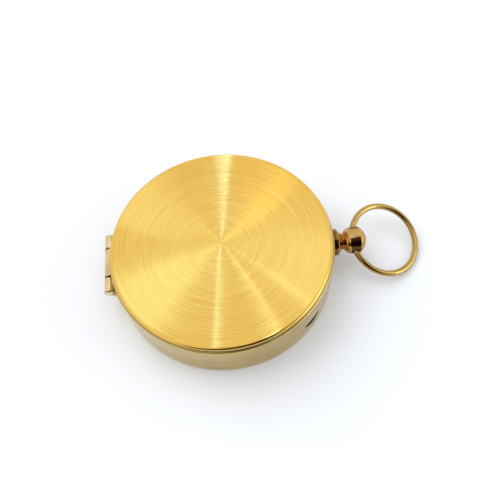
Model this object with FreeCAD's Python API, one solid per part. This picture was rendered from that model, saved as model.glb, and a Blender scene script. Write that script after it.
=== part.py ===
import FreeCAD, Part
import math
import os

# A pocket compass in a flat brass case with a hinged lid, a turned pendant and a bow ring.
# Frame: millimetres, +Z up, the base on z = 0 with its centre at the origin. The pendant
# stands out along +X, the lid's hinge is at -X, and the lid is shut. North is at the pendant.

# Case and lid, both turned to one outer radius
case_radius = 25.0
seam_height = 5.5
floor_thickness = 1.2
base_edge_radius = 0.5
rim_break = 0.12
lid_wall = 0.9
lid_top_thickness = 0.9
lid_edge_radius = 0.6
lid_step_width = 0.35
lid_step_drop = 1.05
lid_step_round = 0.15
lid_inner_chamfer = 0.4
seam_gap = 0.05
lid_clearance = 0.4
lid_head_gap = 0.55
spigot_wall = 1.0
spigot_lead_in = 0.25
snap_bead_height = 1.0
snap_bead_gap = 0.15
snap_bead_rise = 1.0
snap_bead_start = 12.0
snap_bead_sweep = 40.0

# Thumb notch, a round nick in the case's rim under the seam
thumb_notch_angle = -44.5
thumb_notch_radius = 2.85
thumb_notch_depth = 1.15
thumb_notch_drop = 1.85

# Hinge: two knuckles on the case, one on the lid and a riveted pin
hinge_offset = 1.5
hinge_stand_off = 1.2
hinge_rise = 0.6
knuckle_radius = 1.15
middle_knuckle_length = 7.3
end_knuckle_length = 3.7
knuckle_gap = 0.12
pin_radius = 0.55
pin_clearance = 0.05
pin_head_radius = 0.85
pin_head_thickness = 0.32
leaf_thickness = 0.55
leaf_drop = 2.9
leaf_rise = 2.1
leaf_seam_gap = 0.1
leaf_knuckle_gap = 0.35
leaf_web_drop = 1.9
web_reach = 0.55
web_flank_angle = 125.0

# Pendant: one turned piece, from its threaded shank to the nose of its ball
shank_radius = 0.8
shank_clearance = 0.04
collar_radius = 1.5
collar_clearance = 0.05
collar_slot_clearance = 0.35
flange_gap = 0.2
flange_radius = 3.05
flange_thickness = 1.0
flange_round = 0.25
flange_front_radius = 2.75
cone_length = 1.1
neck_radius = 1.75
neck_length = 0.1
ball_radius = 3.0
ball_back_length = 1.35
ball_back_shares = (0.42, 0.64)
ball_belt_length = 2.4
ball_nose_length = 1.6
pendant_roll = 12.7
pendant_washer_radius = 1.4
pendant_washer_gap = 0.2
pendant_washer_thickness = 0.3
pendant_nut_flats = 2.6
pendant_nut_thickness = 1.0
pendant_nut_sides = 6
shank_past_nut = 0.15

# Bow ring, bent from round wire and closed inside the ball
bow_radius = 8.3
bow_wire_radius = 0.7
bow_play = 0.06
bow_table_gap = 0.02

# Dial, its screws and the raised degree ring round it
dial_seat_height = 2.9
dial_seat_width = 1.5
dial_thickness = 0.6
dial_fit = 0.1
dial_screw_inset = 6.2
dial_screw_angles = (45.0, 225.0)
dial_boss_radius = 1.5
dial_screw_radius = 0.5
dial_screw_clearance = 0.04
dial_screw_head_radius = 1.1
dial_screw_head_height = 0.5
dial_screw_depth = 1.5
degree_ring_width = 3.4
degree_ring_wall = 0.6
degree_ring_height = 4.9
degree_ring_top = 0.5

# Crystal, with the gasket under it and the spring ring that holds it down
gasket_thickness = 0.5
gasket_width = 1.3
crystal_thickness = 1.0
crystal_fit = 0.15
crystal_chamfer = 0.2
spring_ring_width = 0.8
spring_ring_height = 0.7
spring_ring_bite = 0.25
spring_ring_play = 0.05
spring_ring_cover = 0.45
spring_ring_split = 12.0

# Pivot post and its steel point
post_shank_radius = 0.8
post_shank_depth = 0.9
post_shank_clearance = 0.02
post_foot_radius = 2.4
post_foot_thickness = 0.6
post_radius = 1.2
post_hole_clearance = 0.15
post_shoulder_above_dial = 0.3
post_top_radius = 0.7
post_top_taper = 0.6
point_radius = 0.35
point_cone_length = 1.0
point_below_ring = 1.1
point_depth = 1.0

# Needle with its cap, jewel and balance rider
needle_tip_gap = 0.9
needle_width = 3.4
needle_thickness = 0.25
needle_boss_radius = 2.3
needle_below_point = 0.9
cap_flange_radius = 1.9
cap_flange_thickness = 0.35
cap_radius = 1.25
cap_top_above_point = 0.75
cap_dome_height = 0.55
cap_bore_above_point = 0.3
cap_needle_fit = 0.03
jewel_fit = 0.02
jewel_radius = 0.88
jewel_thickness = 0.9
jewel_cup_radius = 0.55
jewel_point_gap = 0.05
rider_place = 9.0
rider_length = 1.2
rider_wall = 0.28
rider_fit = 0.03

# How far every cutting tool runs past the face that it cuts
overrun = 0.6

X_AXIS = FreeCAD.Vector(1, 0, 0)
Y_AXIS = FreeCAD.Vector(0, 1, 0)
Z_AXIS = FreeCAD.Vector(0, 0, 1)
ORIGIN = FreeCAD.Vector(0, 0, 0)

# Sizes that follow from the ones above
lid_bottom = seam_height + seam_gap
lid_bore = case_radius - lid_wall
spigot_radius = lid_bore - lid_clearance
well_radius = spigot_radius - spigot_wall
hinge_height = seam_height + hinge_rise
hinge_x = -(case_radius + hinge_stand_off)
barrel_half = middle_knuckle_length / 2 + end_knuckle_length
dial_top = dial_seat_height + dial_thickness
degree_ring_level = dial_top + degree_ring_height
crystal_bottom = degree_ring_level + gasket_thickness
crystal_top = crystal_bottom + crystal_thickness
spigot_top = crystal_top + spring_ring_height + spring_ring_cover
lid_ceiling = spigot_top + lid_head_gap
total_height = lid_ceiling + lid_top_thickness
degree_ring_bore = well_radius - dial_fit - degree_ring_width
dial_screw_circle = degree_ring_bore - dial_screw_inset
pendant_height = degree_ring_level - degree_ring_top - pendant_washer_gap - pendant_washer_radius
spring_ring_outer = well_radius + spring_ring_bite
flange_back = case_radius + flange_gap
ball_back = flange_back + flange_thickness + flange_round + cone_length + neck_length
ball_centre_x = ball_back + ball_back_length + ball_belt_length / 2
point_level = degree_ring_level - point_below_ring
needle_level = point_level - needle_below_point
needle_reach = degree_ring_bore - needle_tip_gap

# The wire crosses the ball on an arc, which touches the hole at its crown and at both mouths,
# so the ring swings about a line half way between those
bow_outer = bow_radius + bow_wire_radius
bow_mouth = math.sqrt((bow_radius - bow_wire_radius) ** 2 - ball_radius ** 2)
bow_reach = (bow_outer + bow_mouth) / 2
bow_hole_radius = bow_outer - bow_reach + bow_play


def at(x=0.0, y=0.0, z=0.0):
    return FreeCAD.Vector(x, y, z)


def wire_of(start, moves):
    # A move is a point, or a pair of points that an arc passes through and ends at.
    edges = []
    here = start
    for move in list(moves) + [start]:
        if isinstance(move[0], tuple):
            middle, end = move
            edges.append(Part.Arc(at(here[0], 0, here[1]), at(middle[0], 0, middle[1]),
                                  at(end[0], 0, end[1])).toShape())
            here = end
        elif move != here:
            edges.append(Part.LineSegment(at(here[0], 0, here[1]), at(move[0], 0, move[1])).toShape())
            here = move
    return Part.Wire(edges)


def turned(start, *moves):
    # Turns an outline of (radius, height) points about the Z axis.
    return Part.Face(wire_of(start, moves)).revolve(ORIGIN, Z_AXIS, 360)


def round_corner(centre, radius, from_angle, to_angle):
    # An arc move about a centre, between two angles counted from the radius direction.
    middle = math.radians((from_angle + to_angle) / 2)
    end = math.radians(to_angle)
    return ((centre[0] + radius * math.cos(middle), centre[1] + radius * math.sin(middle)),
            (centre[0] + radius * math.cos(end), centre[1] + radius * math.sin(end)))


def dome_middle(radius, height, level):
    # The point half way along a round dome, between its rim at a level and its crown on the axis.
    sphere = (radius ** 2 + height ** 2) / (2 * abs(height))
    half_angle = math.asin(radius / sphere) / 2
    up = math.copysign(1, height)
    return (sphere * math.sin(half_angle), level + height - up * sphere * (1 - math.cos(half_angle)))


def washer(outer, inner, height, level):
    ring = Part.makeCylinder(outer, height, at(z=level))
    return ring.cut(Part.makeCylinder(inner, height + 2 * overrun, at(z=level - overrun)))


def case_body():
    corner = (case_radius - base_edge_radius, base_edge_radius)
    cavity_radius = well_radius - dial_seat_width
    body = turned((0, 0), (case_radius - base_edge_radius, 0),
                  round_corner(corner, base_edge_radius, -90, 0),
                  (case_radius, seam_height - rim_break),
                  (case_radius - rim_break, seam_height),
                  (spigot_radius, seam_height),
                  (spigot_radius, spigot_top - spigot_lead_in),
                  (spigot_radius - spigot_lead_in, spigot_top),
                  (well_radius, spigot_top),
                  (well_radius, dial_seat_height),
                  (cavity_radius, dial_seat_height),
                  (cavity_radius, floor_thickness),
                  (0, floor_thickness))
    for bead in snap_beads():
        body = body.fuse(bead)
    for place in dial_screw_places():
        body = body.fuse(Part.makeCylinder(dial_boss_radius, dial_seat_height - floor_thickness,
                                           at(place.x, place.y, floor_thickness)))
        depth = dial_screw_depth + dial_screw_clearance
        body = body.cut(Part.makeCylinder(dial_screw_radius + dial_screw_clearance, depth + overrun,
                                          at(place.x, place.y, dial_seat_height - depth)))
    body = body.cut(Part.makeCylinder(spring_ring_outer + spring_ring_play,
                                      spring_ring_height + 2 * spring_ring_play,
                                      at(z=crystal_top - spring_ring_play)))
    body = body.cut(Part.makeCylinder(post_shank_radius + post_shank_clearance,
                                      post_shank_depth + overrun,
                                      at(z=floor_thickness - post_shank_depth - post_shank_clearance)))
    # The pendant's shank passes through the spigot, and its collar lies in a dip in the rim
    body = body.cut(Part.makeCylinder(shank_radius + shank_clearance,
                                      spigot_wall + 2 * overrun,
                                      at(well_radius - overrun, 0, pendant_height), X_AXIS))
    body = body.cut(Part.makeCylinder(collar_radius + collar_clearance,
                                      case_radius - spigot_radius + overrun,
                                      at(spigot_radius, 0, pendant_height), X_AXIS))
    return body.cut(thumb_notch()).removeSplitter()


def snap_beads():
    # Two low beads on the spigot, either side of the pendant, which hold the shut lid
    root = (spigot_radius + well_radius) / 2
    level = seam_height + snap_bead_rise
    half = snap_bead_height / 2
    section = Part.Face(wire_of((root, level - half), [
        (spigot_radius, level - half), (lid_bore - snap_bead_gap, level),
        (spigot_radius, level + half), (root, level + half)]))
    beads = []
    for side in (1, -1):
        bead = section.revolve(ORIGIN, Z_AXIS, side * snap_bead_sweep)
        bead.rotate(ORIGIN, Z_AXIS, side * snap_bead_start)
        beads.append(bead)
    return beads


def thumb_notch():
    # The nick points at the axis and is lowest in its middle, and the spigot above it stays whole
    inner = case_radius - thumb_notch_depth
    nick = Part.makeCylinder(thumb_notch_radius, thumb_notch_depth + overrun,
                             at(inner, 0, seam_height + thumb_notch_radius - thumb_notch_drop), X_AXIS)
    below = Part.makeBox(thumb_notch_depth + overrun, 2 * thumb_notch_radius, thumb_notch_radius,
                         at(inner, -thumb_notch_radius, seam_height - thumb_notch_radius))
    nick = nick.common(below)
    nick.rotate(ORIGIN, Z_AXIS, thumb_notch_angle)
    return nick


def dial_screw_places():
    places = []
    for degrees in dial_screw_angles:
        angle = math.radians(degrees)
        places.append(at(dial_screw_circle * math.cos(angle), dial_screw_circle * math.sin(angle)))
    return places


def lid():
    # The rounded edge of the top stands on a narrow step, whose own edge is nearly sharp
    top_radius = case_radius - lid_step_width
    step = total_height - lid_step_drop
    cover = turned((0, total_height), (top_radius - lid_edge_radius, total_height),
                   round_corner((top_radius - lid_edge_radius, total_height - lid_edge_radius),
                                lid_edge_radius, 90, 0),
                   (top_radius, step),
                   (case_radius - lid_step_round, step),
                   round_corner((case_radius - lid_step_round, step - lid_step_round),
                                lid_step_round, 90, 0),
                   (case_radius, lid_bottom + rim_break),
                   (case_radius - rim_break, lid_bottom),
                   (lid_bore + rim_break, lid_bottom),
                   (lid_bore, lid_bottom + rim_break),
                   (lid_bore, lid_ceiling - lid_inner_chamfer),
                   (lid_bore - lid_inner_chamfer, lid_ceiling),
                   (0, lid_ceiling))
    # A slot, open below, lets the lid lift off the pendant's collar
    slot_radius = collar_radius + collar_slot_clearance
    slot_length = lid_wall + 2 * overrun
    slot = Part.makeCylinder(slot_radius, slot_length,
                             at(lid_bore - overrun, 0, pendant_height), X_AXIS)
    slot = slot.fuse(Part.makeBox(slot_length, 2 * slot_radius, pendant_height - lid_bottom + overrun,
                                  at(lid_bore - overrun, -slot_radius, lid_bottom - overrun)))
    return cover.cut(slot).removeSplitter()


def knuckle(start, length):
    return Part.makeCylinder(knuckle_radius, length, at(hinge_x, start, hinge_height), Y_AXIS)


def pin_hole(clearance):
    return Part.makeCylinder(pin_radius + clearance, 2 * barrel_half + 2 * overrun,
                             at(hinge_x, hinge_offset - barrel_half - overrun, hinge_height), Y_AXIS)


def leaf_block(bottom, top, start, length):
    # A strip of leaf that hugs the round wall from outside
    outer = case_radius + leaf_thickness
    strip = washer(outer, case_radius, top - bottom, bottom)
    return strip.common(Part.makeBox(outer, length, top - bottom, at(-outer, start, bottom)))


def web(start, length, foot, seam):
    # The bend of the leaf that carries a knuckle: foot is its far edge, seam its edge at the joint
    up = 1 if foot > seam else -1
    flank_angle = math.radians(web_flank_angle)
    flank = at(hinge_x + knuckle_radius * math.cos(flank_angle), start,
               hinge_height + up * knuckle_radius * math.sin(flank_angle))
    inner = -math.sqrt(case_radius ** 2 - (abs(hinge_offset) + barrel_half) ** 2)
    points = [at(hinge_x, start, hinge_height), at(-case_radius, start, seam),
              at(inner, start, seam), at(inner, start, foot),
              at(-case_radius - leaf_thickness, start, foot),
              at(-case_radius - leaf_thickness, start, foot - up * web_reach), flank]
    block = Part.Face(Part.makePolygon(points + [points[0]])).extrude(at(y=length))
    return block.cut(Part.makeCylinder(case_radius, total_height))


def hinge_case_leaf():
    length = end_knuckle_length - knuckle_gap / 2
    top = hinge_height - knuckle_radius - leaf_knuckle_gap
    leaf = leaf_block(hinge_height - leaf_drop, top, hinge_offset - barrel_half, 2 * barrel_half)
    for start in (hinge_offset - barrel_half, hinge_offset + barrel_half - length):
        leaf = leaf.fuse(knuckle(start, length))
        leaf = leaf.fuse(web(start, length, hinge_height - leaf_web_drop, seam_height - leaf_seam_gap))
    return leaf.cut(pin_hole(0)).removeSplitter()


def hinge_lid_leaf():
    length = middle_knuckle_length - knuckle_gap
    start = hinge_offset - length / 2
    leaf = knuckle(start, length)
    leaf = leaf.fuse(web(start, length, hinge_height + leaf_rise, lid_bottom + leaf_seam_gap))
    return leaf.cut(pin_hole(pin_clearance)).removeSplitter()


def hinge_pin():
    # Both ends are riveted over into low domes
    half = barrel_half
    pin = turned((0, -half - pin_head_thickness),
                 (dome_middle(pin_head_radius, -pin_head_thickness, -half), (pin_head_radius, -half)),
                 (pin_radius, -half), (pin_radius, half), (pin_head_radius, half),
                 (dome_middle(pin_head_radius, pin_head_thickness, half),
                  (0, half + pin_head_thickness)))
    pin.rotate(ORIGIN, X_AXIS, -90)
    pin.translate(at(hinge_x, hinge_offset, hinge_height))
    return pin


def along_pendant(shape):
    # Turned pieces are drawn upright and then laid along the pendant's axis
    shape.rotate(ORIGIN, Y_AXIS, 90)
    shape.translate(at(z=pendant_height))
    return shape


def shank_end():
    return pendant_washer_face() - pendant_washer_thickness - pendant_nut_thickness - shank_past_nut


def pendant_washer_face():
    # The flat washer bears on the round wall with its two edges
    return math.sqrt(well_radius ** 2 - pendant_washer_radius ** 2)


def pendant_stud():
    front = flange_back + flange_thickness
    round_centre = (flange_radius - flange_round, front)
    neck = front + flange_round + cone_length
    belt_start = ball_back + ball_back_length
    belt_end = belt_start + ball_belt_length
    back_bulge = (neck_radius + (ball_radius - neck_radius) * ball_back_shares[1],
                  ball_back + ball_back_length * ball_back_shares[0])
    stud = turned((0, shank_end()), (shank_radius, shank_end()),
                  (shank_radius, spigot_radius),
                  (collar_radius, spigot_radius),
                  (collar_radius, flange_back),
                  (flange_radius, flange_back),
                  (flange_radius, front),
                  round_corner(round_centre, flange_round, 0, 90),
                  (flange_front_radius, front + flange_round),
                  (neck_radius, neck),
                  (neck_radius, ball_back),
                  (back_bulge, (ball_radius, belt_start)),
                  (ball_radius, belt_end),
                  (dome_middle(ball_radius, ball_nose_length, belt_end),
                   (0, belt_end + ball_nose_length)))
    stud = along_pendant(stud)
    axis = bow_axis()
    start = ball_centre() - axis * (ball_radius + overrun)
    return stud.cut(Part.makeCylinder(bow_hole_radius, 2 * (ball_radius + overrun), start, axis))


def pendant_washer():
    ring = washer(pendant_washer_radius, shank_radius + shank_clearance, pendant_washer_thickness,
                  pendant_washer_face() - pendant_washer_thickness)
    return along_pendant(ring)


def pendant_nut():
    level = pendant_washer_face() - pendant_washer_thickness - pendant_nut_thickness
    half_side = math.pi / pendant_nut_sides
    corner = pendant_nut_flats / 2 / math.cos(half_side)
    points = []
    for side in range(pendant_nut_sides):
        angle = (2 * side + 1) * half_side
        points.append(at(corner * math.sin(angle), corner * math.cos(angle), level))
    nut = Part.Face(Part.makePolygon(points + [points[0]])).extrude(at(z=pendant_nut_thickness))
    nut = nut.cut(Part.makeCylinder(shank_radius + shank_clearance,
                                    pendant_nut_thickness + 2 * overrun, at(z=level - overrun)))
    nut.rotate(ORIGIN, Z_AXIS, 90)
    return along_pendant(nut)


def ball_centre():
    return at(ball_centre_x, 0, pendant_height)


def bow_axis():
    # The stud's thread stopped short, so the hole across its ball leans from level
    roll = math.radians(pendant_roll)
    return at(0, math.cos(roll), math.sin(roll))


def bow_droop():
    # The angle below level at which the ring's lowest side lies on the table.
    # Its lowest point is at pendant_height - bow_reach * s - bow_radius * sqrt(k * k + s * s),
    # where k is the roll's sine and s is the sine of the droop times the roll's cosine.
    roll = math.radians(pendant_roll)
    drop = pendant_height - bow_wire_radius - bow_table_gap
    k = bow_radius * math.sin(roll)
    a = bow_reach ** 2 - bow_radius ** 2
    b = -2 * drop * bow_reach
    c = drop ** 2 - k ** 2
    share = (-b - math.sqrt(b * b - 4 * a * c)) / (2 * a)
    if share < 0:
        share = (-b + math.sqrt(b * b - 4 * a * c)) / (2 * a)
    return math.asin(share / math.cos(roll))


def bow_ring():
    axis = bow_axis()
    droop = bow_droop()
    outward = X_AXIS * math.cos(droop) + X_AXIS.cross(axis) * -math.sin(droop)
    centre = ball_centre() + outward * bow_reach
    return Part.makeTorus(bow_radius, bow_wire_radius, centre, outward.cross(axis))


def dial_plate():
    plate = washer(well_radius - dial_fit, post_radius + post_hole_clearance, dial_thickness,
                   dial_seat_height)
    for place in dial_screw_places():
        plate = plate.cut(Part.makeCylinder(dial_screw_radius + dial_screw_clearance,
                                            dial_thickness + 2 * overrun,
                                            at(place.x, place.y, dial_seat_height - overrun)))
    return plate


def dial_screws():
    screws = []
    for place in dial_screw_places():
        shank = Part.makeCylinder(dial_screw_radius, dial_screw_depth + dial_thickness,
                                  at(place.x, place.y, dial_seat_height - dial_screw_depth))
        head = Part.makeCylinder(dial_screw_head_radius, dial_screw_head_height,
                                 at(place.x, place.y, dial_top))
        screws.append(shank.fuse(head))
    return Part.Compound(screws)


def degree_ring():
    outer = well_radius - dial_fit
    inner_wall = degree_ring_bore + degree_ring_wall
    return turned((degree_ring_bore, dial_top), (inner_wall, dial_top),
                  (inner_wall, degree_ring_level - degree_ring_top),
                  (outer, degree_ring_level - degree_ring_top),
                  (outer, degree_ring_level),
                  (degree_ring_bore, degree_ring_level))


def crystal_gasket():
    outer = well_radius - dial_fit
    return washer(outer, outer - gasket_width, gasket_thickness, degree_ring_level)


def crystal():
    outer = well_radius - crystal_fit
    return turned((0, crystal_bottom), (outer, crystal_bottom),
                  (outer, crystal_top - crystal_chamfer),
                  (outer - crystal_chamfer, crystal_top),
                  (0, crystal_top))


def crystal_retaining_ring():
    # A split ring of square spring wire, sprung into a groove above the crystal
    inner = spring_ring_outer - spring_ring_width
    top = crystal_top + spring_ring_height
    section = Part.Face(wire_of((inner, crystal_top), [
        (spring_ring_outer, crystal_top), (spring_ring_outer, top), (inner, top)]))
    ring = section.revolve(ORIGIN, Z_AXIS, 360 - spring_ring_split)
    ring.rotate(ORIGIN, Z_AXIS, -90 + spring_ring_split / 2)
    return ring


def pivot_post():
    shoulder = dial_top + post_shoulder_above_dial
    foot_top = floor_thickness + post_foot_thickness
    post = turned((0, floor_thickness - post_shank_depth),
                  (post_shank_radius, floor_thickness - post_shank_depth),
                  (post_shank_radius, floor_thickness),
                  (post_foot_radius, floor_thickness),
                  (post_foot_radius, foot_top),
                  (post_radius, foot_top),
                  (post_radius, shoulder),
                  (post_top_radius, shoulder + post_top_taper),
                  (0, shoulder + post_top_taper))
    bottom = shoulder + post_top_taper - point_depth
    return post.cut(Part.makeCylinder(point_radius, point_depth + overrun, at(z=bottom)))


def pivot_pin():
    bottom = dial_top + post_shoulder_above_dial + post_top_taper - point_depth
    return turned((0, bottom), (point_radius, bottom),
                  (point_radius, point_level - point_cone_length), (0, point_level))


def needle_half_width(distance):
    return needle_width / 2 * (1 - distance / needle_reach)


def compass_needle():
    corners = [at(needle_reach, 0, needle_level), at(0, needle_width / 2, needle_level),
               at(-needle_reach, 0, needle_level), at(0, -needle_width / 2, needle_level)]
    blade = Part.Face(Part.makePolygon(corners + [corners[0]])).extrude(at(z=needle_thickness))
    blade = blade.fuse(Part.makeCylinder(needle_boss_radius, needle_thickness, at(z=needle_level)))
    hole = Part.makeCylinder(cap_radius + cap_needle_fit, needle_thickness + 2 * overrun,
                             at(z=needle_level - overrun))
    return blade.cut(hole).removeSplitter()


def needle_cap():
    # The cap hangs over the point, with its flange under the needle and its dome above
    top = point_level + cap_top_above_point
    dome_start = top - cap_dome_height
    flange_bottom = needle_level - cap_flange_thickness
    bore = jewel_radius + jewel_fit
    bore_top = point_level + cap_bore_above_point
    return turned((bore, flange_bottom), (cap_flange_radius, flange_bottom),
                  (cap_flange_radius, needle_level), (cap_radius, needle_level),
                  (cap_radius, dome_start),
                  (dome_middle(cap_radius, cap_dome_height, dome_start), (0, top)),
                  (0, bore_top), (bore, bore_top))


def jewel_cup():
    top = point_level + cap_bore_above_point
    bottom = top - jewel_thickness
    return turned((jewel_cup_radius, bottom), (jewel_radius, bottom), (jewel_radius, top), (0, top),
                  (0, point_level + jewel_point_gap))


def needle_balance_rider():
    # A brass clip on the south arm, which levels the needle against the field's dip
    half = needle_half_width(rider_place - rider_length / 2) + rider_fit
    inner_height = needle_thickness + 2 * rider_fit
    start = -rider_place - rider_length / 2
    outer = Part.makeBox(rider_length, 2 * (half + rider_wall), inner_height + 2 * rider_wall,
                         at(start, -half - rider_wall, needle_level - rider_fit - rider_wall))
    inner = Part.makeBox(rider_length + 2 * overrun, 2 * half, inner_height,
                         at(start - overrun, -half, needle_level - rider_fit))
    return outer.cut(inner)


pieces = {
    "case_body": case_body,
    "lid": lid,
    "hinge_case_leaf": hinge_case_leaf,
    "hinge_lid_leaf": hinge_lid_leaf,
    "hinge_pin": hinge_pin,
    "pendant_stud": pendant_stud,
    "pendant_washer": pendant_washer,
    "pendant_nut": pendant_nut,
    "bow_ring": bow_ring,
    "dial_plate": dial_plate,
    "dial_screws": dial_screws,
    "degree_ring": degree_ring,
    "crystal_gasket": crystal_gasket,
    "crystal": crystal,
    "crystal_retaining_ring": crystal_retaining_ring,
    "pivot_post": pivot_post,
    "pivot_pin": pivot_pin,
    "compass_needle": compass_needle,
    "needle_cap": needle_cap,
    "jewel_cup": jewel_cup,
    "needle_balance_rider": needle_balance_rider,
}

os.makedirs("parts", exist_ok=True)
for name, make in pieces.items():
    shape = make()
    print(name, "solids", len(shape.Solids), "valid", shape.isValid(), "volume", round(shape.Volume, 3))
    shape.exportStep("parts/" + name + ".step")
print("ball centre", ball_centre(), "bow droop", round(math.degrees(bow_droop()), 3))
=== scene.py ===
import math
import bmesh
import bpy
from mathutils import Matrix, Vector


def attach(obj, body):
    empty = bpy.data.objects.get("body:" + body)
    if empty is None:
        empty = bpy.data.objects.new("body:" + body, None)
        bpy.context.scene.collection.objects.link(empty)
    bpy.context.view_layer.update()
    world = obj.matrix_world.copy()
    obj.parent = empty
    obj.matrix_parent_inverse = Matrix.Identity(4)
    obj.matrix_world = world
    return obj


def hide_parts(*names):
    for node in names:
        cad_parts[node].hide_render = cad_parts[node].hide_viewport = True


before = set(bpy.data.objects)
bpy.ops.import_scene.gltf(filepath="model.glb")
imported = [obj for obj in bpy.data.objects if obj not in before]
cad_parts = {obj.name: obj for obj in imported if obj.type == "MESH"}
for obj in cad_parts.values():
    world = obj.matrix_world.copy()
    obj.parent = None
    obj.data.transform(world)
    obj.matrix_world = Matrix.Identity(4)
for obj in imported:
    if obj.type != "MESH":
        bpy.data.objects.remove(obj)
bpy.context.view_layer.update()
print("cad frame loaded")

# Lengths below are in millimetres, in the same frame as the CAD, and mm turns them to metres
mm = 0.001


def toLinear(hexColour):
    # sRGB hex to the linear colour that a node wants
    parts = [int(hexColour[i:i + 2], 16) / 255 for i in (1, 3, 5)]
    return [c / 12.92 if c <= 0.04045 else ((c + 0.055) / 1.055) ** 2.4 for c in parts] + [1.0]


def addNode(tree, kind, inputs=None, **settings):
    # one node with its settings, its values and its links
    node = tree.nodes.new(kind)
    for key, value in settings.items():
        setattr(node, key, value)
    for key, value in (inputs or {}).items():
        if isinstance(value, bpy.types.NodeSocket):
            tree.links.new(value, node.inputs[key])
        else:
            node.inputs[key].default_value = value
    return node


def newMaterial(name, slot, **surface):
    # a Principled material; its constant values are set on its own sockets
    material = bpy.data.materials.new(name)
    material.use_nodes = True
    material["slot"] = slot
    tree = material.node_tree
    tree.nodes.clear()
    shader = addNode(tree, "ShaderNodeBsdfPrincipled",
                     {key.replace("_", " "): value for key, value in surface.items()})
    addNode(tree, "ShaderNodeOutputMaterial", {"Surface": shader.outputs[0]})
    return material, tree, shader


# Finishes
def calculate(tree, operation, *values):
    return addNode(tree, "ShaderNodeMath", dict(enumerate(values)), operation=operation).outputs[0]


def calculateVector(tree, operation, *values, output=0):
    return addNode(tree, "ShaderNodeVectorMath", dict(enumerate(values)), operation=operation).outputs[output]


def scaled(tree, vector, amount):
    return addNode(tree, "ShaderNodeVectorMath", {0: vector, "Scale": amount}, operation="SCALE").outputs[0]


def heightOf(tree, place):
    return addNode(tree, "ShaderNodeSeparateXYZ", {0: place}).outputs[2]


def apartFrom(tree, value, middle):
    return calculate(tree, "ABSOLUTE", calculate(tree, "SUBTRACT", value, middle))


def mapRange(tree, value, low, high, fromLow=0.3, fromHigh=0.7):
    return addNode(tree, "ShaderNodeMapRange",
                   {"Value": value, "From Min": fromLow, "From Max": fromHigh,
                    "To Min": low, "To Max": high}).outputs[0]


def mixColours(tree, amount, low, high):
    # a colour is a hex text or another node's colour
    colours = [toLinear(colour) if isinstance(colour, str) else colour for colour in (low, high)]
    return addNode(tree, "ShaderNodeMix", {0: amount, 6: colours[0], 7: colours[1]},
                   data_type="RGBA").outputs[2]


def noise(tree, vector, scale, detail=2.0, roughness=0.5):
    return addNode(tree, "ShaderNodeTexNoise", {"Vector": vector, "Scale": scale, "Detail": detail,
                                                "Roughness": roughness}).outputs[0]


def bumpNormal(tree, height, strength, depth=0.01):
    # depth in mm
    return addNode(tree, "ShaderNodeBump", {"Height": height, "Strength": strength,
                                            "Distance": depth * mm}).outputs[0]


def connect(tree, shader, **sockets):
    for name, socket in sockets.items():
        tree.links.new(socket, shader.inputs[name.replace("_", " ")])


def objectPlace(tree, move=(0, 0, 0), turn=(0, 0, 0)):
    # object coordinates in mm, moved and turned so that the piece's own axis is Z
    place = addNode(tree, "ShaderNodeTexCoord").outputs["Object"]
    return addNode(tree, "ShaderNodeMapping",
                   {"Vector": place, "Location": move, "Rotation": turn,
                    "Scale": (1000, 1000, 1000)}).outputs[0]


def lathePattern(tree, place, spacing, arc=1.5):
    # noise that is long round the axis and short across it, as tool marks are
    flat = calculateVector(tree, "MULTIPLY", place, (1, 1, 0))
    radius = calculateVector(tree, "LENGTH", flat, output="Value")
    outward = calculateVector(tree, "NORMALIZE", flat)
    across = calculate(tree, "MULTIPLY", calculate(tree, "ADD", radius, heightOf(tree, place)), 1 / spacing)
    lift = addNode(tree, "ShaderNodeCombineXYZ", {2: across}).outputs[0]
    vector = calculateVector(tree, "ADD", lift, scaled(tree, outward, arc))
    return noise(tree, vector, 1.0, 2.0, 0.6), outward


spunLook = {
    "colour": "#EDC45F",
    "groove": "#E4B555",
    "stain": "#E5B557",
    "scratchSpacing": 0.06,  # too fine to be seen one by one, they spread the light outward
    "scratchArc": 3.0,
    "scratchSlope": 0.09,
    "ringSpacing": 0.38,  # coarser rings of the brush, which show in the picture
    "ringArc": 1.2,
    "ringDepth": 0.004,
    "roughness": (0.095, 0.115),
    "anisotropy": 1.0,
}


def spunBrushedBrass():
    # Brass sheet brushed while it spins: fine rings that throw radial streaks of light
    material, tree, shader = newMaterial("spun_brushed_brass", "lid_brass", Metallic=1.0,
                                         Anisotropic=spunLook["anisotropy"])
    place = objectPlace(tree)
    rings, outward = lathePattern(tree, place, spunLook["ringSpacing"], spunLook["ringArc"])
    blotch = mapRange(tree, noise(tree, place, 0.08, 3.0), 0.0, 0.35)
    colour = mixColours(tree, mapRange(tree, rings, 0.0, 1.0), spunLook["groove"], spunLook["colour"])
    colour = mixColours(tree, blotch, colour, spunLook["stain"])
    # the light spreads across the rings, so the tangent runs outward from the middle
    tangent = addNode(tree, "ShaderNodeVectorTransform", {0: outward}, vector_type="VECTOR",
                      convert_from="OBJECT", convert_to="WORLD").outputs[0]
    # each fine scratch leans the surface a little inward or outward
    scratches = lathePattern(tree, place, spunLook["scratchSpacing"], spunLook["scratchArc"])[0]
    slope = mapRange(tree, scratches, -spunLook["scratchSlope"], spunLook["scratchSlope"])
    bump = bumpNormal(tree, rings, 1.0, spunLook["ringDepth"])
    leaning = calculateVector(tree, "ADD", bump, scaled(tree, tangent, slope))
    connect(tree, shader, Base_Color=colour, Roughness=mapRange(tree, rings, *spunLook["roughness"]),
            Tangent=tangent, Normal=calculateVector(tree, "NORMALIZE", leaning))
    return material


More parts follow.
